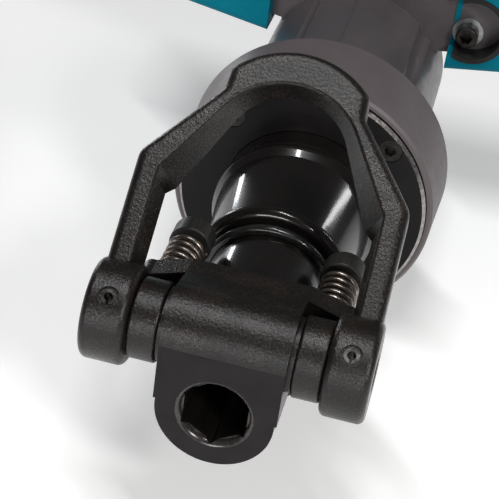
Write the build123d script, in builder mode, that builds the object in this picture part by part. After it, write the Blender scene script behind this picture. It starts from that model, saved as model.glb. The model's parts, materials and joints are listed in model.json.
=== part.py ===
from build123d import *
import math
import os

os.makedirs("parts", exist_ok=True)

# Front end of a heavy breaker hammer: tool holder, swing retainer, barrel and hammer mechanism.
# The tool axis is Y and the nose faces -Y. Z is up. The origin is the centre of the hexagon
# bore's mouth. All sizes are in millimetres.

# Hexagon bore for the tool shank
HEX_FLATS = 28.6
HEX_CORNER_R = HEX_FLATS / math.sqrt(3)
HEX_END_Y = 150.0
MOUTH_R = 18.6
MOUTH_ROUND = 3.4

# Tool holder block
BLOCK_HALF_W = 27.5
NOSE_R = 26.5
SHAFT_Y = 19.5
SHAFT_Z = 27.5
BOSS_R = 19.5
CROWN_EDGE_Z = 26.0
CROWN_TOP_Z = 29.5
LUG_FRONT_Y = 42.5
LUG_BACK_Y = 54.0
LUG_TOP_Z = 34.6
LUG_BOTTOM_Z = 12.0
LUG_HALF_W = 49.3
LUG_STEP_X = 44.0
LUG_CROWN_Z = 40.0
LUG_FOOT_X = 24.0
LUG_FOOT_Z = -16.0
NECK_R = 29.0
CLAMP_COLLAR_R = 36.9
CLAMP_COLLAR_Y = 170.2
RELIEF_R = 17.2
RELIEF_DEPTH = 16.0
GUIDE_SEAT_Y = 165.0

# Retainer cross shaft, collars and sprung bolts
SHAFT_R = 8.0
RUN_GAP = 0.05
FIT_GAP = 0.1
SLOT_R = 8.4
SHOCK_TRAVEL = 5.0
PAD_R = 16.5
PAD_OUT_X = 29.6
COLLAR_R = 18.0
COLLAR_IN_X = 30.0
COLLAR_OUT_X = 42.6
BOLT_X = 36.4
BOLT_Z = 23.5
BOLT_R = 5.0
COLLAR_BOSS_R = 6.2
CAP_R = 10.2
CAP_FRONT_Y = 86.0
CAP_BACK_Y = 97.5
HEAD_R = 8.0
HEAD_DEPTH = 8.0
SPRING_COIL_R = 7.9
SPRING_WIRE_R = 1.55
SPRING_TURNS = 6.0

# Retainer yoke
PARK_ANGLE = 39.0
YOKE_HALF_T = 8.5
EAR_R = 22.5
EAR_IN_X = 43.0
EAR_OUT_X = 63.0
EAR_ROUND = 3.2
ARM_FRONT_ROUND = 4.5
ARM_REAR_ROUND = 2.5
RIDGE_ROUND = 1.6
ARCH_IN_TOP = 117.6
ARM_OUT_X = 61.4
ARM_FOOT_S = 12.0
KNEE_OUT_S = 72.5
SHOULDER_X = 32.5
SHOULDER_S = 110.0
STEP_X = 31.8
ARCH_OUT_R = 42.5
ARCH_OUT_S = 92.5
# Inside outline of the loop at the front and rear faces:
# height off the mid plane, half width of the foot, half width and height of the knee,
# arch centre and arch radius
LOOP_FRONT = (YOKE_HALF_T, 50.6, 50.6, 67.2, 82.0, 35.6)
LOOP_REAR = (-YOKE_HALF_T, 47.4, 43.4, 63.5, 90.0, 28.2)
GUSSET_S = 3.5
PIN_X = 52.5
PIN_R = 3.4
PIN_BORE_R = 1.9
PIN_SLIT = 1.0
PIN_SINK_R = 4.6
PIN_SINK_DEPTH = 1.2

# Front sleeve, front plate and nose ring
SLEEVE_FRONT_Y = 102.0
SLEEVE_BORE_R = 29.3
SLEEVE_OUT_R = 41.2
SLEEVE_FLANGE_R = 50.0
SLEEVE_FLANGE_Y = 186.2
BEAD_SEAT_R = 34.6
PLATE_FRONT_Y = 184.0
JOINT_Y = 192.0
PLATE_R = 65.6
PLATE_BOLT_R = 58.0
PLATE_BOLT_ANGLE = 45.0
PLATE_HEAD_R = 6.0
RING_FRONT_Y = 187.0
RING_FRONT_R = 69.0
RING_BACK_Y = 233.0
RING_BACK_R = 71.0

# Barrel
BARREL_R = 52.6
BARREL_FLANGE_R = 65.6
FLANGE_FRONT_Y = 340.0
FLANGE_BACK_Y = 356.0
UPPER_BOLT_X = 62.5
UPPER_BOLT_Z = 42.0
LOWER_BOLT_X = 34.0
LOWER_BOLT_Z = -56.0
FLANGE_BOLT_R = 4.0
FLANGE_SHANK_R = 3.6
FLANGE_HOLE_R = 4.3
FLANGE_HEAD_R = 6.5
FLANGE_HEAD_H = 8.5
SOCKET_R = 3.7
SOCKET_DEPTH = 5.0
WASHER_R = 9.0
WASHER_T = 2.0
PARTING_ANGLE = 93.5
STUD_END_Y = 381.0
PLATE_BOLT_THREAD_R = 4.0
LINER_OUT_R = 38.5
LINER_IN_R = 33.0
LINER_FRONT_Y = 247.0
LINER_BACK_Y = 402.0
SPIGOT_R = 37.8
VENT_R = 2.0

# Impact bolt, striker and piston
GUIDE_OUT_R = 26.0
GUIDE_IN_R = 20.05
PISTON_R = LINER_IN_R - RUN_GAP
STRIKER_FRONT_Y = 282.5
STRIKER_BACK_Y = 332.5
PISTON_FRONT_Y = 346.0
PISTON_BACK_Y = 380.0
PISTON_RING_Y = 351.0
STRIKER_GROOVES = (292.0, 323.0)
GROOVE_R = 29.1
SEAL_GROOVE_R = 18.1
WRIST_PIN_Y = 368.0
WRIST_PIN_R = 7.0
VENT_Y = 336.0

# Shroud halves
SHROUD_FRONT_Y = 326.0
SHROUD_BACK_Y = 398.0
SHROUD_HALF_W = 122.0
SHROUD_TOP_Z = 78.0
SHROUD_WALL = 3.0
SHROUD_SPLIT = 0.3
SHROUD_SCREW_X = 97.0
SHROUD_SCREW_Z = 50.0
SHROUD_SCREW_R = 2.4
NOTCH_HALF_W = 53.4
NOTCH_END_Y = 357.0
WINDOW_X = 65.0
WINDOW_Z = 49.0
WINDOW_R = 20.5
WINDOW_SEAL_WALL = 2.9

HALF_ROOT = math.sqrt(0.5)
SHAFT_PLANE = Plane((0, SHAFT_Y, SHAFT_Z), x_dir=(0, 1, 0), z_dir=(1, 0, 0))
YOKE_COS = math.cos(math.radians(PARK_ANGLE))
YOKE_SIN = math.sin(math.radians(PARK_ANGLE))
YOKE_PLANE = Plane((0, SHAFT_Y, SHAFT_Z), x_dir=(1, 0, 0), z_dir=(0, -YOKE_SIN, YOKE_COS))
EAR_PLANE = Plane((0, SHAFT_Y, SHAFT_Z), x_dir=(1, 0, 0), z_dir=(0, 0, 1))
SHAFT_AXIS = Axis((0, SHAFT_Y, SHAFT_Z), (1, 0, 0))


def across(y):
    """A plane across the tool axis at y, with X across the sketch and Z up it."""
    return Plane((0, y, 0), x_dir=(1, 0, 0), z_dir=(0, -1, 0))


def save(part, name):
    part.label = name
    export_step(part, f"parts/{name}.step")


def tangent_point(px, py, centre_y, radius):
    """Where a line from (px, py) touches a circle about (0, centre_y), on its upper side."""
    dy = py - centre_y
    square = px * px + dy * dy
    along = radius * radius / square
    side = radius * math.sqrt(square - radius * radius) / square
    return (along * px - side * dy, centre_y + along * dy + side * px)


# ---------------------------------------------------------------- tool holder
with BuildPart() as tool_holder:
    # Round nose and neck
    with BuildSketch(Plane.XY):
        with BuildLine():
            Polyline(
                (0, 0),
                (NOSE_R, 0),
                (NOSE_R, LUG_FRONT_Y),
                (NECK_R, LUG_BACK_Y + 4),
                (NECK_R, CLAMP_COLLAR_Y),
                (CLAMP_COLLAR_R, CLAMP_COLLAR_Y),
                (CLAMP_COLLAR_R, JOINT_Y),
                (0, JOINT_Y),
                close=True,
            )
        make_face()
    revolve(axis=Axis.Y)
    # Block above the nose, with a crowned top edge
    with BuildSketch(across(0)):
        with BuildLine():
            Line((-BLOCK_HALF_W, CROWN_EDGE_Z), (-BLOCK_HALF_W, 2.0))
            Line((-BLOCK_HALF_W, 2.0), (BLOCK_HALF_W, 2.0))
            Line((BLOCK_HALF_W, 2.0), (BLOCK_HALF_W, CROWN_EDGE_Z))
            ThreePointArc(
                (BLOCK_HALF_W, CROWN_EDGE_Z), (0, CROWN_TOP_Z), (-BLOCK_HALF_W, CROWN_EDGE_Z)
            )
        make_face()
    extrude(amount=-SHAFT_Y)
    # Rounded boss that carries the cross shaft, run back to the lug plate
    with BuildSketch(SHAFT_PLANE.offset(-BLOCK_HALF_W)):
        Circle(BOSS_R)
    extrude(amount=2 * BLOCK_HALF_W)
    with BuildSketch(Plane.YZ.offset(-BLOCK_HALF_W)):
        with BuildLine():
            Polyline(
                (SHAFT_Y, 2.0),
                (SHAFT_Y, SHAFT_Z + BOSS_R),
                (SHAFT_Y + 8, SHAFT_Z + BOSS_R - 1.2),
                (LUG_FRONT_Y, LUG_CROWN_Z + 0.5),
                (LUG_BACK_Y, LUG_CROWN_Z),
                (LUG_BACK_Y, 2.0),
                close=True,
            )
        make_face()
    extrude(amount=2 * BLOCK_HALF_W)
    # Lug plate across the back of the block, where the spring bolts pass through
    with BuildSketch(across(LUG_FRONT_Y)):
        with BuildLine():
            Polyline(
                (-LUG_HALF_W, LUG_BOTTOM_Z),
                (-LUG_HALF_W, LUG_TOP_Z),
                (-LUG_STEP_X, LUG_TOP_Z),
                (-BLOCK_HALF_W, LUG_CROWN_Z),
                (BLOCK_HALF_W, LUG_CROWN_Z),
                (LUG_STEP_X, LUG_TOP_Z),
                (LUG_HALF_W, LUG_TOP_Z),
                (LUG_HALF_W, LUG_BOTTOM_Z),
                (LUG_FOOT_X, LUG_FOOT_Z),
                (-LUG_FOOT_X, LUG_FOOT_Z),
                close=True,
            )
        make_face()
        fillet([v for v in vertices() if abs(v.X) > LUG_HALF_W - 1], 4.0)
    extrude(amount=-(LUG_BACK_Y - LUG_FRONT_Y))
    # Side pads round the shaft
    with BuildSketch(SHAFT_PLANE.offset(-PAD_OUT_X)):
        Circle(PAD_R)
    extrude(amount=2 * PAD_OUT_X)
    # Hexagon bore and its rounded mouth
    with BuildSketch(across(0)):
        RegularPolygon(HEX_CORNER_R, 6, rotation=90)
    extrude(amount=-HEX_END_Y, mode=Mode.SUBTRACT)
    with BuildSketch(Plane.XY):
        with BuildLine():
            Line((0, 0), (MOUTH_R, 0))
            ThreePointArc(
                (MOUTH_R, 0),
                (MOUTH_R - MOUTH_ROUND * HALF_ROOT, MOUTH_ROUND * (1 - HALF_ROOT)),
                (MOUTH_R - MOUTH_ROUND, MOUTH_ROUND),
            )
            Line((MOUTH_R - MOUTH_ROUND, MOUTH_ROUND), (0, MOUTH_ROUND))
            Line((0, MOUTH_ROUND), (0, 0))
        make_face()
    revolve(axis=Axis.Y, mode=Mode.SUBTRACT)
    # Relief bore and rear counterbore for the bolt guide
    with BuildSketch(across(HEX_END_Y)):
        Circle(RELIEF_R)
    extrude(amount=-RELIEF_DEPTH, mode=Mode.SUBTRACT)
    with BuildSketch(across(GUIDE_SEAT_Y)):
        Circle(GUIDE_OUT_R)
    extrude(amount=-(JOINT_Y - GUIDE_SEAT_Y), mode=Mode.SUBTRACT)
    # Slot for the cross shaft, long enough for the shock travel
    with BuildSketch(SHAFT_PLANE.offset(-PAD_OUT_X)):
        with Locations((-SHOCK_TRAVEL / 2, 0)):
            SlotCenterToCenter(SHOCK_TRAVEL, 2 * SLOT_R)
    extrude(amount=2 * PAD_OUT_X, mode=Mode.SUBTRACT)
    # Holes for the spring bolts
    with BuildSketch(across(LUG_FRONT_Y - 1)):
        with Locations((-BOLT_X, BOLT_Z), (BOLT_X, BOLT_Z)):
            Circle(BOLT_R + 0.5)
    extrude(amount=-(LUG_BACK_Y - LUG_FRONT_Y + 2), mode=Mode.SUBTRACT)
save(tool_holder.part, "tool_holder")

# ---------------------------------------------------------------- cross shaft and collars
with BuildPart() as retainer_shaft:
    with BuildSketch(SHAFT_PLANE.offset(-(EAR_OUT_X - 1))):
        Circle(SHAFT_R)
    extrude(amount=2 * (EAR_OUT_X - 1))
    chamfer(edges().filter_by(GeomType.CIRCLE), 1.0)
    with BuildSketch(YOKE_PLANE.offset(-20)):
        with Locations((-PIN_X, 0), (PIN_X, 0)):
            Circle(PIN_R)
    extrude(amount=40, mode=Mode.SUBTRACT)
save(retainer_shaft.part, "retainer_shaft")

for side, name in ((-1, "shaft_collar_left"), (1, "shaft_collar_right")):
    start = COLLAR_IN_X if side > 0 else -COLLAR_OUT_X
    with BuildPart() as shaft_collar:
        with BuildSketch(SHAFT_PLANE.offset(start)):
            Circle(COLLAR_R)
        extrude(amount=COLLAR_OUT_X - COLLAR_IN_X)
        fillet(shaft_collar.edges().filter_by(GeomType.CIRCLE), 1.2)
        # Round boss that reaches back to the lug plate
        with BuildSketch(across(SHAFT_Y + 12)):
            with Locations((side * BOLT_X, BOLT_Z)):
                Circle(COLLAR_BOSS_R)
        extrude(amount=-(LUG_FRONT_Y - 0.3 - SHAFT_Y - 12))
        with BuildSketch(SHAFT_PLANE.offset(start - 1)):
            Circle(SHAFT_R + RUN_GAP)
        extrude(amount=COLLAR_OUT_X - COLLAR_IN_X + 2, mode=Mode.SUBTRACT)
        with BuildSketch(across(SHAFT_Y + 10)):
            with Locations((side * BOLT_X, BOLT_Z)):
                Circle(BOLT_R)
        extrude(amount=-15, mode=Mode.SUBTRACT)
    save(shaft_collar.part, name)

with BuildPart() as retainer_bolts:
    for x in (-BOLT_X, BOLT_X):
        with BuildSketch(across(SHAFT_Y + 11)):
            with Locations((x, BOLT_Z)):
                Circle(BOLT_R)
        extrude(amount=-(CAP_BACK_Y - 7 - SHAFT_Y - 11))
        with BuildSketch(across(CAP_BACK_Y - HEAD_DEPTH)):
            with Locations((x, BOLT_Z)):
                Circle(HEAD_R)
        extrude(amount=-HEAD_DEPTH - 0.5)
        with BuildSketch(across(CAP_BACK_Y + 0.5)):
            with Locations((x, BOLT_Z)):
                RegularPolygon(4.6, 6)
        extrude(amount=5, mode=Mode.SUBTRACT)
save(retainer_bolts.part, "retainer_bolts")

with BuildPart() as spring_caps:
    for x in (-BOLT_X, BOLT_X):
        with BuildSketch(across(CAP_FRONT_Y)):
            with Locations((x, BOLT_Z)):
                Circle(CAP_R)
                Circle(BOLT_R + FIT_GAP, mode=Mode.SUBTRACT)
        extrude(amount=-(CAP_BACK_Y - CAP_FRONT_Y))
    fillet(spring_caps.edges().filter_by(GeomType.CIRCLE).filter_by(
        lambda e: abs(e.radius - CAP_R) < 0.01), 1.1)
    for x in (-BOLT_X, BOLT_X):
        with BuildSketch(across(CAP_BACK_Y - HEAD_DEPTH)):
            with Locations((x, BOLT_Z)):
                Circle(HEAD_R + FIT_GAP)
        extrude(amount=-HEAD_DEPTH - 1, mode=Mode.SUBTRACT)
save(spring_caps.part, "spring_caps")

# Springs between the lug plate and the caps
SPRING_FRONT_Y = LUG_BACK_Y + SPRING_WIRE_R + 0.2
SPRING_LENGTH = CAP_FRONT_Y - SPRING_WIRE_R - 0.2 - SPRING_FRONT_Y
for x, name in ((-BOLT_X, "retainer_spring_left"), (BOLT_X, "retainer_spring_right")):
    with BuildPart() as retainer_spring:
        with BuildLine() as coil:
            Helix(
                SPRING_LENGTH / SPRING_TURNS,
                SPRING_LENGTH,
                SPRING_COIL_R,
                center=(x, SPRING_FRONT_Y, BOLT_Z),
                direction=(0, 1, 0),
            )
        with BuildSketch(Plane(coil.line @ 0, z_dir=coil.line % 0)):
            Circle(SPRING_WIRE_R)
        sweep(is_frenet=True)
    save(retainer_spring.part, name)

# ---------------------------------------------------------------- retainer yoke


def is_ridge(edge):
    """Whether an edge of the yoke lies on the inside outline of its front face."""
    middle = YOKE_PLANE.to_local_coords(edge @ 0.5)
    on_front = abs(middle.Z - YOKE_HALF_T) < 0.01
    return on_front and abs(middle.X) < ARM_OUT_X - 8 and middle.Y < ARCH_IN_TOP + 0.1 \
        and middle.Y > ARM_FOOT_S + 1


with BuildPart() as retainer_yoke:
    # Outside of the two arms and the arch
    with BuildSketch(YOKE_PLANE.offset(-YOKE_HALF_T)):
        with BuildLine():
            Polyline(
                (STEP_X, ARCH_OUT_S + math.sqrt(ARCH_OUT_R**2 - STEP_X**2)),
                (SHOULDER_X, SHOULDER_S),
                (ARM_OUT_X, KNEE_OUT_S),
                (ARM_OUT_X, ARM_FOOT_S),
                (-ARM_OUT_X, ARM_FOOT_S),
                (-ARM_OUT_X, KNEE_OUT_S),
                (-SHOULDER_X, SHOULDER_S),
                (-STEP_X, ARCH_OUT_S + math.sqrt(ARCH_OUT_R**2 - STEP_X**2)),
            )
            ThreePointArc(
                (-STEP_X, ARCH_OUT_S + math.sqrt(ARCH_OUT_R**2 - STEP_X**2)),
                (0, ARCH_OUT_S + ARCH_OUT_R),
                (STEP_X, ARCH_OUT_S + math.sqrt(ARCH_OUT_R**2 - STEP_X**2)),
            )
        make_face()
        fillet([v for v in vertices() if v.Y > KNEE_OUT_S - 1 and abs(v.X) > 50], 9.0)
        fillet([v for v in vertices() if v.Y > SHOULDER_S + 5], 4.0)
        fillet([v for v in vertices() if abs(v.Y - SHOULDER_S) < 0.5], 7.0)
    extrude(amount=2 * YOKE_HALF_T)
    for height, rounding in ((YOKE_HALF_T, ARM_FRONT_ROUND), (-YOKE_HALF_T, ARM_REAR_ROUND)):
        face_edges = retainer_yoke.edges().filter_by(
            lambda e: abs(YOKE_PLANE.to_local_coords(e.center()).Z - height) < 0.01
            and YOKE_PLANE.to_local_coords(e.center()).Y > ARM_FOOT_S + 1)
        fillet(face_edges, rounding)
    # Space inside the loop, narrower at the rear so the inner faces slope
    for height, foot_x, knee_x, knee_s, centre_s, radius in (LOOP_FRONT, LOOP_REAR):
        touch_x, touch_s = tangent_point(knee_x, knee_s, centre_s, radius)
        with BuildSketch(YOKE_PLANE.offset(height)):
            with BuildLine():
                Polyline(
                    (-touch_x, touch_s),
                    (-knee_x, knee_s),
                    (-foot_x, knee_s - GUSSET_S),
                    (-foot_x, 0),
                    (foot_x, 0),
                    (foot_x, knee_s - GUSSET_S),
                    (knee_x, knee_s),
                    (touch_x, touch_s),
                )
                ThreePointArc(
                    (touch_x, touch_s), (0, centre_s + radius), (-touch_x, touch_s)
                )
            make_face()
    loft(ruled=True, mode=Mode.SUBTRACT)
    # Rounded ridge where the inner faces meet the front face
    fillet(retainer_yoke.edges().filter_by(is_ridge), RIDGE_ROUND)
    # Round ears on the cross shaft
    with BuildSketch(EAR_PLANE):
        with Locations((-(EAR_IN_X + EAR_OUT_X) / 2, EAR_R / 2), ((EAR_IN_X + EAR_OUT_X) / 2, EAR_R / 2)):
            Rectangle(EAR_OUT_X - EAR_IN_X, EAR_R)
        fillet([v for v in vertices() if v.Y > 1], EAR_ROUND)
    revolve(axis=SHAFT_AXIS)
    with BuildSketch(SHAFT_PLANE.offset(-EAR_OUT_X - 1)):
        Circle(SHAFT_R)
    extrude(amount=2 * EAR_OUT_X + 2, mode=Mode.SUBTRACT)
    # Roll pin holes, sunk a little at the top
    with BuildSketch(YOKE_PLANE.offset(-EAR_R - 1)):
        with Locations((-PIN_X, 0), (PIN_X, 0)):
            Circle(PIN_R)
    extrude(amount=2 * EAR_R + 2, mode=Mode.SUBTRACT)
    with BuildSketch(YOKE_PLANE.offset(EAR_R - PIN_SINK_DEPTH)):
        with Locations((-PIN_X, 0), (PIN_X, 0)):
            Circle(PIN_SINK_R)
    extrude(amount=2 * PIN_SINK_DEPTH, mode=Mode.SUBTRACT)
save(retainer_yoke.part, "retainer_yoke")

with BuildPart() as yoke_roll_pins:
    for x in (-PIN_X, PIN_X):
        with BuildSketch(YOKE_PLANE.offset(-EAR_R + 0.8)):
            with Locations((x, 0)):
                Circle(PIN_R)
                Circle(PIN_BORE_R, mode=Mode.SUBTRACT)
            with Locations((x, -PIN_R)):
                Rectangle(PIN_SLIT, 2 * PIN_R, mode=Mode.SUBTRACT)
        extrude(amount=2 * EAR_R - 1.4)
save(yoke_roll_pins.part, "yoke_roll_pins")

# ---------------------------------------------------------------- sleeve, plate and ring
with BuildPart() as front_sleeve:
    with BuildSketch(Plane.XY):
        with BuildLine():
            Polyline(
                (SLEEVE_BORE_R, 108.6),
                (BEAD_SEAT_R, 108.6),
                (BEAD_SEAT_R, 118.2),
                (35.4, 124.0),
                (40.2, 160.0),
                (42.3, 163.5),
            )
            ThreePointArc((42.3, 163.5), (43.0, 166.5), (42.3, 169.5))
            Polyline(
                (42.3, 169.5),
                (SLEEVE_OUT_R, 172.6),
                (SLEEVE_OUT_R, SLEEVE_FLANGE_Y),
                (SLEEVE_FLANGE_R, SLEEVE_FLANGE_Y),
                (SLEEVE_FLANGE_R, JOINT_Y),
                (CLAMP_COLLAR_R + 0.2, JOINT_Y),
                (CLAMP_COLLAR_R + 0.2, CLAMP_COLLAR_Y - 0.2),
                (SLEEVE_BORE_R, CLAMP_COLLAR_Y - 0.2),
                (SLEEVE_BORE_R, 108.6),
            )
        make_face()
    revolve(axis=Axis.Y)
save(front_sleeve.part, "front_sleeve")

# Rubber wiper with two rounded lips at the front of the sleeve
with BuildPart() as neck_wiper:
    with BuildSketch(Plane.XY):
        with BuildLine():
            Line((SLEEVE_BORE_R, 108.5), (SLEEVE_BORE_R, SLEEVE_FRONT_Y))
            Line((SLEEVE_BORE_R, SLEEVE_FRONT_Y), (30.6, SLEEVE_FRONT_Y))
            ThreePointArc((30.6, SLEEVE_FRONT_Y), (33.0, 104.0), (31.4, 106.6))
            Line((31.4, 106.6), (31.4, 108.5))
            Line((31.4, 108.5), (SLEEVE_BORE_R, 108.5))
        make_face()
    revolve(axis=Axis.Y)
save(neck_wiper.part, "neck_wiper")

with BuildPart() as neck_bead_ring:
    with BuildSketch(Plane.XY):
        with BuildLine():
            Line((BEAD_SEAT_R + FIT_GAP, 109.0), (BEAD_SEAT_R + FIT_GAP, 117.4))
            ThreePointArc(
                (BEAD_SEAT_R + FIT_GAP, 117.4), (38.2, 113.4), (BEAD_SEAT_R + FIT_GAP, 109.0)
            )
        make_face()
    revolve(axis=Axis.Y)
save(neck_bead_ring.part, "neck_bead_ring")

with BuildPart() as front_plate:
    with BuildSketch(Plane.XY):
        with BuildLine():
            Polyline(
                (SLEEVE_OUT_R + 0.3, PLATE_FRONT_Y),
                (PLATE_R - 1.6, PLATE_FRONT_Y),
                (PLATE_R, PLATE_FRONT_Y + 1.6),
                (PLATE_R, JOINT_Y),
                (SLEEVE_FLANGE_R + 0.3, JOINT_Y),
                (SLEEVE_FLANGE_R + 0.3, SLEEVE_FLANGE_Y - 0.2),
                (SLEEVE_OUT_R + 0.3, SLEEVE_FLANGE_Y - 0.2),
                close=True,
            )
        make_face()
    revolve(axis=Axis.Y)
    with BuildSketch(across(PLATE_FRONT_Y)):
        with PolarLocations(PLATE_BOLT_R, 4, start_angle=PLATE_BOLT_ANGLE):
            Circle(PLATE_HEAD_R + 0.3)
    extrude(amount=-5, mode=Mode.SUBTRACT)
    with BuildSketch(across(PLATE_FRONT_Y)):
        with PolarLocations(PLATE_BOLT_R, 4, start_angle=PLATE_BOLT_ANGLE):
            Circle(PLATE_BOLT_THREAD_R + 0.2)
    extrude(amount=-9, mode=Mode.SUBTRACT)
save(front_plate.part, "front_plate")

with BuildPart() as front_plate_bolts:
    with BuildSketch(across(PLATE_FRONT_Y + 0.4)):
        with PolarLocations(PLATE_BOLT_R, 4, start_angle=PLATE_BOLT_ANGLE):
            Circle(PLATE_HEAD_R)
    extrude(amount=-4.6)
    with BuildSketch(across(PLATE_FRONT_Y + 4)):
        with PolarLocations(PLATE_BOLT_R, 4, start_angle=PLATE_BOLT_ANGLE):
            Circle(PLATE_BOLT_THREAD_R)
    extrude(amount=-26)
    with BuildSketch(across(PLATE_FRONT_Y + 0.4)):
        with PolarLocations(PLATE_BOLT_R, 4, start_angle=PLATE_BOLT_ANGLE):
            RegularPolygon(3.2, 6)
    extrude(amount=-3.4, mode=Mode.SUBTRACT)
save(front_plate_bolts.part, "front_plate_bolts")

with BuildPart() as nose_ring:
    with BuildSketch(Plane.XY):
        with BuildLine():
            Line((66.0, RING_FRONT_Y), (RING_FRONT_R - 1.4, RING_FRONT_Y))
            Line((RING_FRONT_R - 1.4, RING_FRONT_Y), (RING_FRONT_R, RING_FRONT_Y + 1.4))
            Line((RING_FRONT_R, RING_FRONT_Y + 1.4), (RING_BACK_R, RING_BACK_Y - 3))
            ThreePointArc(
                (RING_BACK_R, RING_BACK_Y - 3), (69.9, RING_BACK_Y + 0.6), (66.8, RING_BACK_Y + 1.6)
            )
            Line((66.8, RING_BACK_Y + 1.6), (56.5, RING_BACK_Y + 4.6))
            Line((56.5, RING_BACK_Y + 4.6), (53.0, RING_BACK_Y + 8.0))
            Line((53.0, RING_BACK_Y + 8.0), (53.0, 229.3))
            Line((53.0, 229.3), (66.0, 229.3))
            Line((66.0, 229.3), (66.0, RING_FRONT_Y))
        make_face()
    revolve(axis=Axis.Y)
save(nose_ring.part, "nose_ring")

# ---------------------------------------------------------------- barrel
UPPER_BOLTS = [(-UPPER_BOLT_X, UPPER_BOLT_Z), (UPPER_BOLT_X, UPPER_BOLT_Z)]
LOWER_BOLTS = [(-LOWER_BOLT_X, LOWER_BOLT_Z), (LOWER_BOLT_X, LOWER_BOLT_Z)]
FLANGE_BOLTS = UPPER_BOLTS + LOWER_BOLTS
SHROUD_SCREWS = [(-SHROUD_SCREW_X, SHROUD_SCREW_Z), (SHROUD_SCREW_X, SHROUD_SCREW_Z)]
# Channels in the casting: angle round the barrel, cutter radius and cutter centre's height
CHANNELS = ((43.0, 9.5, 7.2), (120.0, 3.6, 2.4))

with BuildPart() as barrel:
    with BuildSketch(Plane.XY):
        with BuildLine():
            Polyline(
                (GUIDE_OUT_R, JOINT_Y),
                (BARREL_FLANGE_R, JOINT_Y),
                (BARREL_FLANGE_R, 229.0),
                (BARREL_R, 229.0),
                (BARREL_R, FLANGE_BACK_Y),
                (LINER_OUT_R, FLANGE_BACK_Y),
                (LINER_OUT_R, 240.0),
                (GUIDE_OUT_R, 240.0),
                close=True,
            )
        make_face()
    revolve(axis=Axis.Y)
    # Rear flange: two wide upper ears and two lower ears
    with BuildSketch(across(FLANGE_FRONT_Y)):
        with BuildLine():
            Polyline(
                (106.0, 36.0),
                (106.0, 62.0),
                (40.0, 66.0),
                (-40.0, 66.0),
                (-106.0, 62.0),
                (-106.0, 36.0),
                (-80.0, 30.5),
                (-47.5, 25.5),
                (-45.0, 10.0),
                (-45.0, -68.0),
                (45.0, -68.0),
                (45.0, 10.0),
                (47.5, 25.5),
                (80.0, 30.5),
                close=True,
            )
        make_face()
        fillet([v for v in vertices() if abs(v.X) > 100 or v.Y < -60], 7.0)
        Circle(LINER_OUT_R, mode=Mode.SUBTRACT)
    extrude(amount=-(FLANGE_BACK_Y - FLANGE_FRONT_Y))
    with BuildSketch(across(FLANGE_FRONT_Y)):
        with Locations(*FLANGE_BOLTS):
            Circle(FLANGE_HOLE_R)
        with Locations(*SHROUD_SCREWS):
            Circle(SHROUD_SCREW_R)
    extrude(amount=-(FLANGE_BACK_Y - FLANGE_FRONT_Y), mode=Mode.SUBTRACT)
    # Raised parting lines of the casting
    with BuildSketch(across(RING_BACK_Y + 10)):
        with PolarLocations(BARREL_R, 2, start_angle=PARTING_ANGLE):
            Rectangle(1.2, 0.9)
    extrude(amount=-(FLANGE_FRONT_Y - RING_BACK_Y - 10))
    # Threaded holes for the front plate's bolts
    with BuildSketch(across(JOINT_Y)):
        with PolarLocations(PLATE_BOLT_R, 4, start_angle=PLATE_BOLT_ANGLE):
            Circle(PLATE_BOLT_THREAD_R)
    extrude(amount=-22, mode=Mode.SUBTRACT)
    # Long shallow channels in the casting
    with BuildSketch(across(RING_BACK_Y + 12)):
        for angle, cutter_r, height in CHANNELS:
            with PolarLocations(BARREL_R + height, 1, start_angle=angle):
                Circle(cutter_r)
    extrude(amount=-(FLANGE_FRONT_Y - RING_BACK_Y - 12), mode=Mode.SUBTRACT)
save(barrel.part, "barrel")

with BuildPart() as barrel_washers:
    with BuildSketch(across(FLANGE_FRONT_Y)):
        with Locations(*FLANGE_BOLTS):
            Circle(WASHER_R)
            Circle(FLANGE_HOLE_R, mode=Mode.SUBTRACT)
    extrude(amount=WASHER_T)
save(barrel_washers.part, "barrel_washers")

# Waisted screws: the shank is slimmer than the thread that stands out behind the flange
HEAD_SEAT_Y = FLANGE_FRONT_Y - WASHER_T
with BuildPart() as barrel_bolts:
    with BuildSketch(across(HEAD_SEAT_Y)):
        with Locations(*FLANGE_BOLTS):
            Circle(FLANGE_HEAD_R)
    extrude(amount=FLANGE_HEAD_H)
    fillet(barrel_bolts.edges().filter_by(GeomType.CIRCLE).group_by(Axis.Y)[0], 1.0)
    with BuildSketch(across(HEAD_SEAT_Y)):
        with Locations(*FLANGE_BOLTS):
            Circle(FLANGE_SHANK_R)
    extrude(amount=-(FLANGE_BACK_Y - HEAD_SEAT_Y))
    with BuildSketch(across(FLANGE_BACK_Y)):
        with Locations(*FLANGE_BOLTS):
            Circle(FLANGE_BOLT_R)
    extrude(amount=-(STUD_END_Y - FLANGE_BACK_Y))
    with BuildSketch(across(HEAD_SEAT_Y - FLANGE_HEAD_H)):
        with Locations(*FLANGE_BOLTS):
            RegularPolygon(SOCKET_R, 6)
    extrude(amount=-SOCKET_DEPTH, mode=Mode.SUBTRACT)
save(barrel_bolts.part, "barrel_bolts")

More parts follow.
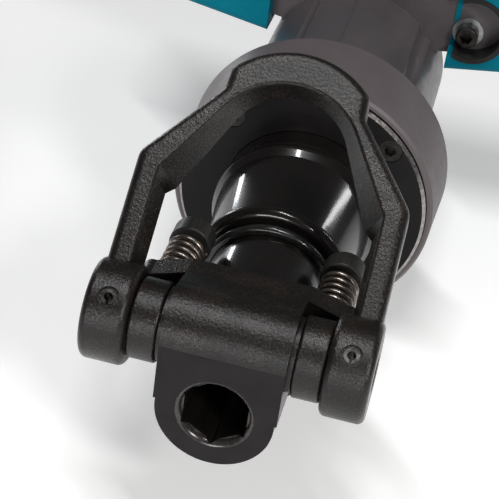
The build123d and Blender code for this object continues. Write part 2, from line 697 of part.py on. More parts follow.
# ---------------------------------------------------------------- shroud halves
with BuildPart() as shroud_right:
    with BuildSketch(across(SHROUD_FRONT_Y)):
        with BuildLine():
            Polyline(
                (SHROUD_SPLIT, 20.0),
                (50.0, 20.0),
                (114.0, 30.0),
                (SHROUD_HALF_W, 39.0),
                (SHROUD_HALF_W, 68.0),
                (112.0, SHROUD_TOP_Z),
                (SHROUD_SPLIT, SHROUD_TOP_Z),
                close=True,
            )
        make_face()
        fillet([v for v in vertices() if v.X > 100], 7.0)
    extrude(amount=-(SHROUD_BACK_Y - SHROUD_FRONT_Y))
    fillet(shroud_right.faces().sort_by(Axis.Y)[0].edges().filter_by(
        lambda e: e.center().X > SHROUD_SPLIT + 1), 5.0)
    with BuildSketch(across(SHROUD_FRONT_Y + SHROUD_WALL)):
        with BuildLine():
            Polyline(
                (-1.0, 20.0 + SHROUD_WALL),
                (50.0, 20.0 + SHROUD_WALL),
                (113.0, 30.0 + SHROUD_WALL),
                (SHROUD_HALF_W - SHROUD_WALL, 40.0),
                (SHROUD_HALF_W - SHROUD_WALL, 67.0),
                (111.0, SHROUD_TOP_Z - SHROUD_WALL),
                (-1.0, SHROUD_TOP_Z - SHROUD_WALL),
                close=True,
            )
        make_face()
        fillet([v for v in vertices() if v.X > 100], 4.5)
    extrude(amount=-SHROUD_BACK_Y, mode=Mode.SUBTRACT)
    # Screw post down to the flange
    with BuildSketch(across(SHROUD_FRONT_Y + 1.0)):
        with Locations((SHROUD_SCREW_X, SHROUD_SCREW_Z)):
            Circle(7.0)
    extrude(amount=-(FLANGE_FRONT_Y - SHROUD_FRONT_Y - 1.0))
    with BuildSketch(across(SHROUD_FRONT_Y)):
        with Locations((SHROUD_SCREW_X, SHROUD_SCREW_Z)):
            Circle(SHROUD_SCREW_R)
    extrude(amount=-SHROUD_BACK_Y, mode=Mode.SUBTRACT)
    with BuildSketch(across(SHROUD_FRONT_Y)):
        with Locations((SHROUD_SCREW_X, SHROUD_SCREW_Z)):
            Circle(5.0)
    extrude(amount=-3.0, mode=Mode.SUBTRACT)
    # Wall beside the barrel
    with BuildSketch(across(SHROUD_FRONT_Y + 1.0)):
        with Locations((NOTCH_HALF_W + SHROUD_WALL / 2, (20.0 + SHROUD_TOP_Z) / 2 + 1.0)):
            Rectangle(SHROUD_WALL, SHROUD_TOP_Z - 24.0)
    extrude(amount=-(FLANGE_FRONT_Y - 0.2 - SHROUD_FRONT_Y - 1.0))
    # Room for the flange bolt's head and washer
    with BuildSketch(across(SHROUD_FRONT_Y + SHROUD_WALL + 0.1)):
        with Locations((UPPER_BOLT_X, UPPER_BOLT_Z)):
            Circle(WASHER_R + 0.6)
    extrude(amount=-(FLANGE_FRONT_Y - SHROUD_FRONT_Y - SHROUD_WALL - 0.1), mode=Mode.SUBTRACT)
    # Room for the barrel, open at the top
    with BuildSketch(across(SHROUD_FRONT_Y - 1.0)):
        with Locations((0, SHROUD_TOP_Z / 2)):
            Rectangle(2 * NOTCH_HALF_W, SHROUD_TOP_Z + 2)
    extrude(amount=-(NOTCH_END_Y - SHROUD_FRONT_Y + 1.0), mode=Mode.SUBTRACT)
    with BuildSketch(across(SHROUD_FRONT_Y - 1.0)):
        Circle(BARREL_R + 0.7)
    extrude(amount=-SHROUD_BACK_Y, mode=Mode.SUBTRACT)

with BuildPart() as shroud_left:
    add(mirror(shroud_right.part, about=Plane.YZ, mode=Mode.PRIVATE))
save(shroud_left.part, "shroud_left")

# The right half has a round window over the flange bolt
with BuildPart() as shroud_window:
    add(shroud_right.part)
    with BuildSketch(across(SHROUD_FRONT_Y - 1.0)):
        with Locations((WINDOW_X, WINDOW_Z)):
            Circle(WINDOW_R)
    extrude(amount=-(FLANGE_FRONT_Y - SHROUD_FRONT_Y), mode=Mode.SUBTRACT)
save(shroud_window.part, "shroud_right")

with BuildPart() as window_seal:
    with BuildSketch(across(SHROUD_FRONT_Y - 0.8)):
        with Locations((WINDOW_X, WINDOW_Z)):
            Circle(WINDOW_R - FIT_GAP)
            Circle(WINDOW_R - WINDOW_SEAL_WALL, mode=Mode.SUBTRACT)
        with Locations((NOTCH_HALF_W + SHROUD_WALL - WINDOW_R, WINDOW_Z)):
            Rectangle(2 * WINDOW_R, 2 * WINDOW_R, mode=Mode.SUBTRACT)
    extrude(amount=-(FLANGE_FRONT_Y - SHROUD_FRONT_Y + 0.6))
save(window_seal.part, "window_seal")

with BuildPart() as shroud_screws:
    with BuildSketch(across(SHROUD_FRONT_Y + 0.2)):
        with Locations(*SHROUD_SCREWS):
            Circle(4.7)
    extrude(amount=-2.8)
    with BuildSketch(across(SHROUD_FRONT_Y + 1.0)):
        with Locations(*SHROUD_SCREWS):
            Circle(SHROUD_SCREW_R)
    extrude(amount=-24.0)
    with BuildSketch(across(SHROUD_FRONT_Y + 0.2)):
        with Locations(*SHROUD_SCREWS):
            RegularPolygon(2.4, 6)
    extrude(amount=-2.0, mode=Mode.SUBTRACT)
save(shroud_screws.part, "shroud_screws")

# ---------------------------------------------------------------- impact bolt and damper
with BuildPart() as bolt_guide:
    with BuildSketch(across(GUIDE_SEAT_Y)):
        Circle(GUIDE_OUT_R)
        Circle(GUIDE_IN_R, mode=Mode.SUBTRACT)
    extrude(amount=-(216.3 - GUIDE_SEAT_Y))
save(bolt_guide.part, "bolt_guide")

with BuildPart() as impact_bolt:
    with BuildSketch(Plane.XY):
        with BuildLine():
            Polyline(
                (0, 152.0),
                (12.0, 152.0),
                (13.5, 153.5),
                (13.5, 172.0),
                (20.0, 175.0),
                (20.0, 203.9),
                (SEAL_GROOVE_R, 203.9),
                (SEAL_GROOVE_R, 206.1),
                (20.0, 206.1),
                (20.0, 212.0),
                (15.0, 214.0),
                (15.0, 260.5),
                (13.5, 262.0),
                (0, 262.0),
                close=True,
            )
        make_face()
    revolve(axis=Axis.Y)
save(impact_bolt.part, "impact_bolt")

with BuildPart() as impact_bolt_seal:
    with BuildSketch(Plane.XY):
        with Locations((SEAL_GROOVE_R + 0.95, 205.0)):
            Circle(0.95)
    revolve(axis=Axis.Y)
save(impact_bolt_seal.part, "impact_bolt_seal")

DAMPER_STACK = (
    ("front_damper_washer", 25.95, 216.3, 221.0),
    ("damper_ring", 25.7, 221.0, 233.0),
    ("rear_damper_washer", 25.95, 233.0, 240.0),
    ("cylinder_front_ring", 38.45, 240.0, LINER_FRONT_Y),
)
for name, outer_r, front_y, back_y in DAMPER_STACK:
    with BuildPart() as damper_piece:
        with BuildSketch(across(front_y)):
            Circle(outer_r)
            Circle(15.6, mode=Mode.SUBTRACT)
        extrude(amount=-(back_y - front_y))
    save(damper_piece.part, name)

# ---------------------------------------------------------------- cylinder, striker and piston
with BuildPart() as cylinder_liner:
    with BuildSketch(across(LINER_FRONT_Y)):
        Circle(LINER_OUT_R)
        Circle(LINER_IN_R, mode=Mode.SUBTRACT)
    extrude(amount=-(FLANGE_BACK_Y - LINER_FRONT_Y))
    with BuildSketch(across(FLANGE_BACK_Y)):
        Circle(SPIGOT_R)
        Circle(LINER_IN_R, mode=Mode.SUBTRACT)
    extrude(amount=-(LINER_BACK_Y - FLANGE_BACK_Y))
    # Air vents round the cylinder
    for turn in range(6):
        with BuildSketch(Plane((0, VENT_Y, 0), z_dir=(math.cos(turn * math.pi / 3), 0,
                                                      math.sin(turn * math.pi / 3)))):
            Circle(VENT_R)
        extrude(amount=LINER_OUT_R + 1, mode=Mode.SUBTRACT)
save(cylinder_liner.part, "cylinder_liner")

with BuildPart() as striker:
    with BuildSketch(across(STRIKER_FRONT_Y)):
        Circle(PISTON_R)
    extrude(amount=-(STRIKER_BACK_Y - STRIKER_FRONT_Y))
    chamfer(striker.edges().filter_by(GeomType.CIRCLE), 1.5)
    for groove_y in STRIKER_GROOVES:
        with BuildSketch(across(groove_y - 2.1)):
            Circle(PISTON_R + 1)
            Circle(GROOVE_R, mode=Mode.SUBTRACT)
        extrude(amount=-4.2, mode=Mode.SUBTRACT)
save(striker.part, "striker")

with BuildPart() as striker_rings:
    with BuildSketch(Plane.XY):
        with Locations(*[(GROOVE_R + 1.9, groove_y) for groove_y in STRIKER_GROOVES]):
            Circle(1.9)
    revolve(axis=Axis.Y)
save(striker_rings.part, "striker_rings")

with BuildPart() as piston:
    with BuildSketch(across(PISTON_FRONT_Y)):
        Circle(PISTON_R)
    extrude(amount=-(PISTON_BACK_Y - PISTON_FRONT_Y))
    chamfer(piston.edges().filter_by(GeomType.CIRCLE), 1.2)
    with BuildSketch(across(PISTON_RING_Y - 2.1)):
        Circle(PISTON_R + 1)
        Circle(GROOVE_R, mode=Mode.SUBTRACT)
    extrude(amount=-4.2, mode=Mode.SUBTRACT)
    # Room for the connecting rod
    with BuildSketch(across(357.0)):
        Rectangle(24.0, 40.0)
    extrude(amount=-(PISTON_BACK_Y - 356.0), mode=Mode.SUBTRACT)
    with BuildSketch(Plane.YZ.offset(-PISTON_R)):
        with Locations((WRIST_PIN_Y, 0)):
            Circle(WRIST_PIN_R)
    extrude(amount=2 * PISTON_R, mode=Mode.SUBTRACT)
save(piston.part, "piston")

with BuildPart() as piston_ring:
    with BuildSketch(Plane.XY):
        with Locations((GROOVE_R + 1.9, PISTON_RING_Y)):
            Circle(1.9)
    revolve(axis=Axis.Y)
save(piston_ring.part, "piston_ring")

with BuildPart() as wrist_pin:
    with BuildSketch(Plane.YZ.offset(-30.0)):
        with Locations((WRIST_PIN_Y, 0)):
            Circle(WRIST_PIN_R)
            Circle(3.5, mode=Mode.SUBTRACT)
    extrude(amount=60.0)
save(wrist_pin.part, "wrist_pin")

with BuildPart() as wrist_pin_clips:
    for start_x in (-31.3, 30.1):
        with BuildSketch(Plane.YZ.offset(start_x)):
            with Locations((WRIST_PIN_Y, 0)):
                Circle(WRIST_PIN_R)
                Circle(WRIST_PIN_R - 1.8, mode=Mode.SUBTRACT)
        extrude(amount=1.2)
save(wrist_pin_clips.part, "wrist_pin_clips")
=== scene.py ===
"""Looks for the front end of a heavy breaker hammer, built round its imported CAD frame.

Everything is in metres in the row frame: the tool axis is Y, the nose faces -Y and Z is up.
"""

import json
import math

import bpy
from mathutils import Matrix, Vector


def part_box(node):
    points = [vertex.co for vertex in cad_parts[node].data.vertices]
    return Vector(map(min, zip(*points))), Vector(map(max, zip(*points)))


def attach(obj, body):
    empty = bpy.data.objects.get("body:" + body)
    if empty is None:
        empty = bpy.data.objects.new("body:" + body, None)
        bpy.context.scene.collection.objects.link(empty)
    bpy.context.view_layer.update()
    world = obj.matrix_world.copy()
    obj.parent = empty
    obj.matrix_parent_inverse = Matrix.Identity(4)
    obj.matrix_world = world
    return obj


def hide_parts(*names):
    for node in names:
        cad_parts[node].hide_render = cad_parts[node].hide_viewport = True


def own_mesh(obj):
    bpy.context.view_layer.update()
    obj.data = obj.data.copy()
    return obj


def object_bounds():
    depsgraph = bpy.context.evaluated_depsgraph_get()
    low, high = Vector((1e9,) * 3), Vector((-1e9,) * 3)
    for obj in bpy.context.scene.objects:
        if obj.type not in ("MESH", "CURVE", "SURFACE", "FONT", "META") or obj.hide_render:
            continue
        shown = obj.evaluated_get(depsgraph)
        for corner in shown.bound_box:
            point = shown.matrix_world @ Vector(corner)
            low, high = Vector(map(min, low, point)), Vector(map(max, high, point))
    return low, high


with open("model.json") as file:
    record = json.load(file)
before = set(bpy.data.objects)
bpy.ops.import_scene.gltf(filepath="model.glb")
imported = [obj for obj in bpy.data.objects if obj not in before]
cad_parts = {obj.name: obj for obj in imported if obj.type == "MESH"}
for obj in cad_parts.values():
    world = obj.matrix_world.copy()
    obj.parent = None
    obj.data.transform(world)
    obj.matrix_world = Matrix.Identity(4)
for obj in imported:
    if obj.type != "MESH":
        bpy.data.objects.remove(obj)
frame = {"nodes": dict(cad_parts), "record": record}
CAD_LOW, CAD_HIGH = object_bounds()
NODES = frame["nodes"]
CENTRE = (CAD_LOW + CAD_HIGH) / 2

# Camera: where it stands, which way it looks and how far it is rolled
CAMERA_PLACE = Vector((0.0825, -0.5283, 0.4473))
CAMERA_AZIMUTH = math.radians(8.39)
CAMERA_ELEVATION = math.radians(33.92)
CAMERA_ROLL = math.radians(8.59)
CAMERA_LENS = 116.7

FLOOR_DROP = 0.004
FLOOR_HALF = 6.0
FLOOR_GLOW = 0.25
LIGHT_AIM = Vector((0, 0.05, 0.02))
WORLD_LIGHT = 0.10

# Places on the CAD's nodes: the nose's mouth and bore, and the front plate's bevel
FLAT = 0.0002
MOUTH_DEPTH = 0.0035
MOUTH_R = 0.0187
BORE_R = 0.0173
BORE_END = 0.166
NECK_Y = 0.0545
NECK_LOW_R = 0.0240
NECK_R = 0.0310
PLATE_BEVEL = 0.0016

# Retainer springs
COIL_R = 0.0079
WIRE_R = 0.00155
COIL_TURNS = 6
WIRE_SIDES = 14
STEPS_PER_TURN = 40


# ---------------------------------------------------------------- material parts
class Surface:
    """A Principled material that is built up from noise, marks and bumps in object space."""

    def __init__(self, name, metallic=0.0, coat=0.0, specular=0.5):
        self.material = bpy.data.materials.new(name)
        self.material.use_nodes = True
        self.tree = self.material.node_tree
        self.shader = self.tree.nodes["Principled BSDF"]
        self.shader.inputs["Metallic"].default_value = metallic
        self.shader.inputs["Coat Weight"].default_value = coat
        self.shader.inputs["Coat Roughness"].default_value = 0.08
        self.shader.inputs["Specular IOR Level"].default_value = specular
        self.place = self.node("ShaderNodeTexCoord").outputs["Object"]
        self.height = None

    def node(self, kind, **settings):
        """A new shader node with those settings."""
        made = self.tree.nodes.new(kind)
        for key, value in settings.items():
            setattr(made, key, value)
        return made

    def link(self, source, target):
        self.tree.links.new(source, target)

    def noise(self, scale, detail=4.0, stretch=(1, 1, 1), rough=0.55):
        """Noise of that many cells per metre, squeezed or drawn out along each axis."""
        mapping = self.node("ShaderNodeMapping")
        mapping.inputs["Scale"].default_value = stretch
        self.link(self.place, mapping.inputs["Vector"])
        made = self.node("ShaderNodeTexNoise")
        made.inputs["Scale"].default_value = scale
        made.inputs["Detail"].default_value = detail
        made.inputs["Roughness"].default_value = rough
        self.link(mapping.outputs["Vector"], made.inputs["Vector"])
        return made.outputs["Fac"]

    def pits(self, scale):
        """Rounded cells of that many per metre, low at their centres."""
        made = self.node("ShaderNodeTexVoronoi")
        made.inputs["Scale"].default_value = scale
        self.link(self.place, made.inputs["Vector"])
        return made.outputs["Distance"]

    def spread(self, source, low, high, start=0.3, end=0.7):
        """source, with start to end spread over low to high."""
        made = self.node("ShaderNodeMapRange")
        made.inputs["From Min"].default_value = start
        made.inputs["From Max"].default_value = end
        made.inputs["To Min"].default_value = low
        made.inputs["To Max"].default_value = high
        self.link(source, made.inputs["Value"])
        return made.outputs["Result"]

    def maths(self, operation, a, b):
        """One arithmetic step on two sockets or numbers."""
        made = self.node("ShaderNodeMath", operation=operation)
        for socket, value in zip(made.inputs, (a, b)):
            if isinstance(value, (int, float)):
                socket.default_value = value
            else:
                self.link(value, socket)
        return made.outputs["Value"]

    def ramp(self, source, stops):
        """Colours at their places along source."""
        made = self.node("ShaderNodeValToRGB")
        steps = made.color_ramp.elements
        while len(steps) < len(stops):
            steps.new(1.0)
        for step, (place, colour) in zip(steps, stops):
            step.position = place
            step.color = (*colour, 1.0)
        self.link(source, made.inputs["Fac"])
        return made.outputs["Color"]

    def blend(self, share, first, second):
        """first where share is 0 and second where it is 1, both colours."""
        made = self.node("ShaderNodeMix", data_type="RGBA")
        self.link(share, made.inputs["Factor"])
        colour_inputs = [s for s in made.inputs if s.type == "RGBA"]
        for socket, value in zip(colour_inputs, (first, second)):
            if isinstance(value, tuple):
                socket.default_value = (*value, 1.0)
            else:
                self.link(value, socket)
        return next(s for s in made.outputs if s.type == "RGBA")

    def bump(self, height, distance, strength=1.0):
        """Adds a layer of relief, with its height in metres."""
        made = self.node("ShaderNodeBump")
        made.inputs["Strength"].default_value = strength
        made.inputs["Distance"].default_value = distance
        self.link(height, made.inputs["Height"])
        if self.height is not None:
            self.link(self.height, made.inputs["Normal"])
        self.height = made.outputs["Normal"]

    def colour(self, source):
        self.link(source, self.shader.inputs["Base Color"])

    def roughness(self, source):
        self.link(source, self.shader.inputs["Roughness"])

    def done(self):
        """Joins the relief to the shader and gives back the material."""
        if self.height is not None:
            self.link(self.height, self.shader.inputs["Normal"])
        return self.material


def turning_marks(surface, pitch_per_metre):
    """Fine rings left by a lathe round the Y axis."""
    return surface.noise(pitch_per_metre, detail=2.0, stretch=(0.004, 1.0, 0.004))


def streaks_along(surface, scale):
    """Fine marks drawn out along the tool axis."""
    return surface.noise(scale, detail=3.0, stretch=(1.0, 0.03, 1.0))


# ---------------------------------------------------------------- materials
def forged_black():
    """Blackened forging: a grainy satin skin that glitters, uneven hammering, browned patches, and
    lighter flecks at the grain's peaks that are painted glints.
    """
    skin = Surface("forged_black", metallic=0.0, specular=0.36)
    patches = skin.noise(48, detail=6.0)
    grain = skin.noise(1250, detail=4.0, rough=0.7)
    tone = skin.ramp(
        patches,
        [
            (0.32, (0.0030, 0.0022, 0.0019)),
            (0.52, (0.0075, 0.0056, 0.0048)),
            (0.74, (0.0220, 0.0150, 0.0118)),
        ],
    )
    # Lighter flecks at the grain's peaks: painted glints.
    glint_flecks = skin.spread(grain, 0.0, 1.0, 0.56, 0.74)
    skin.colour(skin.blend(glint_flecks, tone, (0.056, 0.047, 0.043)))
    skin.roughness(
        skin.maths("ADD", skin.spread(grain, 0.08, -0.06), skin.spread(patches, 0.34, 0.22))
    )
    skin.bump(skin.noise(85, detail=3.0), 0.0009, 0.35)
    skin.bump(skin.pits(700), 0.00024, 0.40)
    skin.bump(grain, 0.00030, 0.55)
    return skin.done()


def nose_face():
    """The flat face of the nose: dull, even and lightly scuffed."""
    skin = Surface("nose_face", metallic=0.0, specular=0.20)
    patches = skin.noise(90, detail=6.0)
    skin.colour(
        skin.ramp(patches, [(0.3, (0.0060, 0.0046, 0.0048)), (0.7, (0.0105, 0.0083, 0.0086))])
    )
    skin.roughness(skin.spread(patches, 0.56, 0.44))
    skin.bump(skin.noise(1800, detail=4.0), 0.00008, 0.5)
    return skin.done()


def rubbed_and_highlight_steel(name, deep, light, metallic):
    """Steel rubbed smooth by the tool's shank in the mouth; on the plate's bevel, bright steel that is
    a painted highlight line.
    """
    skin = Surface(name, metallic=metallic, specular=0.6)
    marks = skin.noise(420, detail=4.0)
    skin.colour(skin.ramp(marks, [(0.3, deep), (0.7, light)]))
    skin.roughness(skin.spread(marks, 0.20, 0.28))
    skin.bump(marks, 0.00002, 0.3)
    return skin.done()


def bore_steel():
    """The greasy, dark inside of the hexagon bore."""
    skin = Surface("bore_steel", metallic=0.4)
    marks = streaks_along(skin, 700)
    skin.colour(skin.ramp(marks, [(0.3, (0.004, 0.0034, 0.003)), (0.7, (0.016, 0.0135, 0.0115))]))
    skin.roughness(skin.spread(marks, 0.25, 0.45))
    skin.bump(marks, 0.00005, 0.4)
    return skin.done()


def gloss_black():
    """Turned and blackened, under a glossy film with faint rings and smears."""
    skin = Surface("gloss_black", metallic=0.0, coat=0.6, specular=0.2)
    smears = skin.noise(38, detail=5.0, stretch=(1.0, 0.35, 1.0))
    rings = turning_marks(skin, 1400)
    skin.colour(
        skin.ramp(smears, [(0.3, (0.0022, 0.0018, 0.0018)), (0.7, (0.0062, 0.0046, 0.0040))])
    )
    skin.roughness(skin.maths("ADD", skin.spread(smears, 0.20, 0.30), skin.spread(rings, -0.02, 0.05)))
    skin.bump(rings, 0.00003, 0.35)
    skin.bump(skin.noise(420, detail=3.0), 0.00004, 0.25)
    return skin.done()


def plate_black():
    """Black machined plate with visible facing rings."""
    skin = Surface("plate_black", metallic=0.0, specular=0.2)
    patches = skin.noise(60, detail=5.0)
    skin.colour(
        skin.ramp(patches, [(0.3, (0.0036, 0.0028, 0.0030)), (0.7, (0.0070, 0.0056, 0.0060))])
    )
    skin.roughness(skin.spread(patches, 0.36, 0.48))
    skin.bump(skin.noise(1300, detail=3.0), 0.00006, 0.5)
    return skin.done()


def painted_gray(name, deep, light, metallic, rough_low, rough_high):
    """Satin gray paint over a casting, with a soft orange peel and small nicks."""
    skin = Surface(name, metallic=metallic, specular=0.5)
    clouds = skin.noise(24, detail=5.0)
    nicks = skin.spread(skin.noise(700, detail=2.0, stretch=(1.0, 0.35, 1.0)), 0.0, 1.0, 0.72, 0.76)
    tone = skin.ramp(clouds, [(0.3, deep), (0.7, light)])
    skin.colour(skin.blend(nicks, tone, tuple(1.25 * part for part in light)))
    skin.roughness(skin.spread(skin.noise(160, detail=4.0), rough_low, rough_high))
    skin.bump(skin.noise(520, detail=2.0), 0.00010, 0.30)
    skin.bump(skin.noise(2600, detail=2.0), 0.00005, 0.35)
    return skin.done()


def teal_plastic():
    """Moulded teal plastic with a fine spark-eroded texture."""
    skin = Surface("teal_plastic", specular=0.06)
    clouds = skin.noise(18, detail=4.0)
    grain = skin.noise(3200, detail=2.0)
    skin.colour(
        skin.ramp(clouds, [(0.3, (0.0004, 0.145, 0.205)), (0.7, (0.0006, 0.170, 0.240))])
    )
    skin.roughness(skin.maths("ADD", skin.spread(clouds, 0.40, 0.47), skin.spread(grain, -0.03, 0.06)))
    skin.bump(grain, 0.00007, 0.45)
    return skin.done()


def black_rubber(name="black_rubber", specular=0.35, rough_low=0.55, rough_high=0.75):
    """Rubber with a dusty bloom, or with an oily film where it is given a low roughness."""
    skin = Surface(name, specular=specular)
    bloom = skin.noise(240, detail=5.0)
    skin.colour(skin.ramp(bloom, [(0.35, (0.005, 0.005, 0.005)), (0.75, (0.018, 0.017, 0.016))]))
    skin.roughness(skin.spread(bloom, rough_low, rough_high))
    skin.bump(skin.noise(2400, detail=3.0), 0.00004, 0.3)
    return skin.done()


def spring_steel():
    """Oil-tempered wire: warm gray with brown oxide and drawn lines."""
    skin = Surface("spring_steel", metallic=0.95)
    oxide = skin.noise(380, detail=4.0)
    skin.colour(
        skin.ramp(
            oxide,
            [(0.30, (0.10, 0.082, 0.070)), (0.55, (0.20, 0.170, 0.150)), (0.78, (0.38, 0.34, 0.31))],
        )
    )
    skin.roughness(skin.spread(oxide, 0.40, 0.24))
    skin.bump(skin.noise(3000, detail=2.0), 0.00003, 0.4)
    return skin.done()


def cap_steel():
    """Sintered caps: dull gray-black with upright streaks."""
    skin = Surface("cap_dark", metallic=0.45, specular=0.45)
    streaks = streaks_along(skin, 1300)
    skin.colour(skin.ramp(streaks, [(0.3, (0.016, 0.015, 0.014)), (0.7, (0.044, 0.042, 0.039))]))
    skin.roughness(skin.spread(streaks, 0.42, 0.56))
    skin.bump(streaks, 0.00005, 0.5)
    return skin.done()


def bright_steel(name, deep, light, rough_low, rough_high):
    """Plated or ground steel with fine marks and a few dull spots."""
    skin = Surface(name, metallic=1.0)
    spots = skin.noise(300, detail=5.0)
    marks = turning_marks(skin, 2200)
    skin.colour(skin.ramp(spots, [(0.3, deep), (0.7, light)]))
    worn = skin.spread(spots, rough_low, rough_high)
    skin.roughness(skin.maths("ADD", worn, skin.spread(marks, 0.0, 0.05)))
    skin.bump(marks, 0.00003, 0.3)
    return skin.done()


LOOKS = {
    "forged_black": forged_black(),
    "gloss_black": gloss_black(),
    "plate_black": plate_black(),
    "ring_gray": painted_gray(
        "ring_gray", (0.100, 0.083, 0.087), (0.122, 0.102, 0.107), 0.1, 0.42, 0.52
    ),
    "casting_gray": painted_gray(
        "casting_gray", (0.094, 0.083, 0.088), (0.118, 0.104, 0.110), 0.3, 0.28, 0.38
    ),
    "teal_plastic": teal_plastic(),
    "black_rubber": black_rubber(),
    "damper_rubber": black_rubber("damper_rubber"),
    "spring_steel": spring_steel(),
    "cap_dark": cap_steel(),
    "pin_steel": bright_steel("pin_steel", (0.07, 0.065, 0.062), (0.20, 0.19, 0.185), 0.20, 0.32),
    "zinc_steel": bright_steel("zinc_steel", (0.34, 0.35, 0.36), (0.58, 0.60, 0.61), 0.24, 0.38),
    "ground_steel": bright_steel("ground_steel", (0.36, 0.355, 0.35), (0.56, 0.555, 0.55), 0.16, 0.28),
    "dark_bolt": bright_steel("dark_bolt", (0.022, 0.020, 0.019), (0.065, 0.060, 0.056), 0.28, 0.40),
    "piston_alloy": bright_steel("piston_alloy", (0.50, 0.50, 0.51), (0.66, 0.66, 0.67), 0.24, 0.36),
}
SLOT_OF = {row["node"]: row["material_slot"] for row in frame["record"]["subparts"]}


def give_looks():
    """Puts each CAD node's own material into its slot. The wiper on the neck is oily."""
    for name, node in NODES.items():
        node.data.materials.clear()
        node.data.materials.append(LOOKS[SLOT_OF[name]])
    NODES["neck_wiper"].data.materials[0] = black_rubber("oiled_rubber", 0.6, 0.16, 0.26)


def face_radius(face):
    """How far a face's centre is from the tool axis."""
    return math.hypot(face.center.x, face.center.z)


def dress_tool_holder():
    """A dull flat face, a rounded mouth rubbed smooth, a dark bore and a glossy neck."""
    holder = NODES["tool_holder"]
    mouth = rubbed_and_highlight_steel("mouth_steel", (0.035, 0.031, 0.030), (0.070, 0.063, 0.061), 0.6)
    for look in (nose_face(), mouth, bore_steel(), LOOKS["gloss_black"]):
        holder.data.materials.append(look)
    for face in holder.data.polygons:
        if face.center.y < FLAT:
            face.material_index = 1
        elif face.center.y < MOUTH_DEPTH and face_radius(face) < MOUTH_R:
            face.material_index = 2
        elif face.center.y < BORE_END and face_radius(face) < BORE_R:
            face.material_index = 3
        elif face.center.y > NECK_Y and NECK_LOW_R < face_radius(face) < NECK_R:
            face.material_index = 4


def dress_front_plate():
    """The plate's outer bevel is given bright steel: a painted highlight line."""
    plate = NODES["front_plate"]
    # Bright steel on the bevel faces: a painted highlight line.
    plate.data.materials.append(
        rubbed_and_highlight_steel("bevel_highlight_steel", (0.20, 0.185, 0.18), (0.42, 0.40, 0.39), 0.9)
    )
    low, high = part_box("front_plate")
    for face in plate.data.polygons:
        on_bevel = low.y + FLAT < face.center.y < low.y + PLATE_BEVEL - FLAT
        if on_bevel and face_radius(face) > high.x - PLATE_BEVEL:
            face.material_index = 1


def springs():
    """Wound springs in place of the CAD's plain ones, hung on the front end's body."""
    for side in ("left", "right"):
        name = f"retainer_spring_{side}"
        low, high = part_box(name)
        middle = (low + high) / 2
        length = (high.y - low.y) - 2 * WIRE_R
        steps = COIL_TURNS * STEPS_PER_TURN
        rings = []
        for step in range(steps + 1):
            share = step / steps
            turn = 2 * math.pi * COIL_TURNS * share
            outward = Vector((math.cos(turn), 0, math.sin(turn)))
            centre = Vector((middle.x, low.y + WIRE_R + length * share, middle.z)) + COIL_R * outward
            rings.append(
                [
                    centre
                    + WIRE_R * math.cos(a) * outward
                    + WIRE_R * math.sin(a) * Vector((0, 1, 0))
                    for a in (2 * math.pi * s / WIRE_SIDES for s in range(WIRE_SIDES))
                ]
            )
        points = [p for ring in rings for p in ring]
        faces = []
        for ring in range(steps):
            for s in range(WIRE_SIDES):
                t = (s + 1) % WIRE_SIDES
                here, there = ring * WIRE_SIDES, (ring + 1) * WIRE_SIDES
                faces.append((here + s, here + t, there + t, there + s))
        faces.append(tuple(reversed(range(WIRE_SIDES))))
        faces.append(tuple(range(steps * WIRE_SIDES, (steps + 1) * WIRE_SIDES)))
        mesh = bpy.data.meshes.new(f"wound_spring_{side}")
        mesh.from_pydata(points, [], faces)
        mesh.shade_smooth()
        spring = bpy.data.objects.new(f"wound_spring_{side}", mesh)
        bpy.context.scene.collection.objects.link(spring)
        mesh.materials.append(LOOKS["spring_steel"])
        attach(spring, "front_end")
        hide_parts(name)
        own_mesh(spring)


# ---------------------------------------------------------------- floor, lights and camera
def floor():
    """A wide pale floor just under the lowest part."""
    height = CAD_LOW.z - FLOOR_DROP
    sides = ((-1, -1), (1, -1), (1, 1), (-1, 1))
    corners = [(FLOOR_HALF * x, FLOOR_HALF * y) for x, y in sides]
    mesh = bpy.data.meshes.new("floor")
    mesh.from_pydata([(x, y, height) for x, y in corners], [], [(0, 1, 2, 3)])
    plane = bpy.data.objects.new("floor", mesh)
    bpy.context.scene.collection.objects.link(plane)
    paper = Surface("floor_paper", specular=0.2)
    shade = paper.noise(3, detail=3.0)
    paper.colour(paper.ramp(shade, [(0.3, (0.90, 0.90, 0.90)), (0.7, (0.93, 0.93, 0.93))]))
    paper.shader.inputs["Roughness"].default_value = 0.9
    paper.shader.inputs["Emission Color"].default_value = (1.0, 1.0, 1.0, 1.0)
    paper.shader.inputs["Emission Strength"].default_value = FLOOR_GLOW
    mesh.materials.append(paper.done())


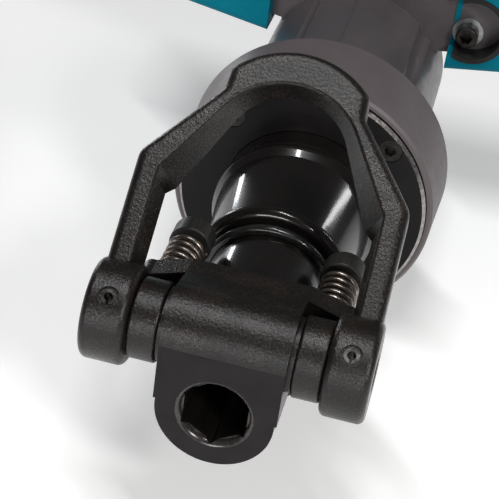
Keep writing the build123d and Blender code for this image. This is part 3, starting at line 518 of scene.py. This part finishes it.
def area_light(name, place, aim, width, height, power, colour=(1, 1, 1)):
    """A rectangular soft light at place that faces aim."""
    data = bpy.data.lights.new(name, "AREA")
    data.shape = "RECTANGLE"
    data.size = width
    data.size_y = height
    data.energy = power
    data.color = colour
    light = bpy.data.objects.new(name, data)
    bpy.context.scene.collection.objects.link(light)
    light.location = place
    light.rotation_mode = "QUATERNION"
    light.rotation_quaternion = (Vector(aim) - Vector(place)).to_track_quat("-Z", "Y")
    return light


def lights():
    """A key to the front right, a low fill in front, a strip overhead and two strips behind."""
    world = bpy.data.worlds.new("studio")
    world.use_nodes = True
    background = world.node_tree.nodes["Background"]
    background.inputs["Color"].default_value = (1.0, 1.0, 1.0, 1.0)
    background.inputs["Strength"].default_value = WORLD_LIGHT
    bpy.context.scene.world = world
    area_light("key", (0.62, -0.62, 0.62), LIGHT_AIM, 0.22, 0.16, 6, (1.0, 0.985, 0.97))
    area_light("low_front", (-0.25, -1.20, 0.30), LIGHT_AIM, 0.50, 0.16, 5.5)
    area_light("overhead", (-0.10, -0.05, 1.40), LIGHT_AIM, 0.90, 0.07, 11)
    area_light("far_left", (-1.40, 1.85, 0.14), CENTRE, 0.35, 0.20, 4, (0.94, 0.97, 1.0))
    area_light("far_right", (1.35, 1.60, 0.70), CENTRE, 0.06, 0.5, 1.6)


def camera():
    """Looks down at the nose from the front, a little to the right and rolled."""
    data = bpy.data.cameras.new("camera")
    data.lens = CAMERA_LENS
    data.sensor_width = 36.0
    data.clip_start = 0.01
    data.clip_end = 50.0
    made = bpy.data.objects.new("camera", data)
    bpy.context.scene.collection.objects.link(made)
    a, e, roll = CAMERA_AZIMUTH, CAMERA_ELEVATION, CAMERA_ROLL
    back = Vector((math.sin(a) * math.cos(e), -math.cos(a) * math.cos(e), math.sin(e)))
    level = Vector((math.cos(a), math.sin(a), 0))
    upright = back.cross(level)
    right = math.cos(roll) * level + math.sin(roll) * upright
    up = -math.sin(roll) * level + math.cos(roll) * upright
    turn = Matrix((right, up, back)).transposed().to_4x4()
    made.matrix_world = Matrix.Translation(CAMERA_PLACE) @ turn
    bpy.context.scene.camera = made


give_looks()
dress_tool_holder()
dress_front_plate()
springs()
floor()
lights()
camera()
bpy.context.scene.view_settings.view_transform = "Standard"
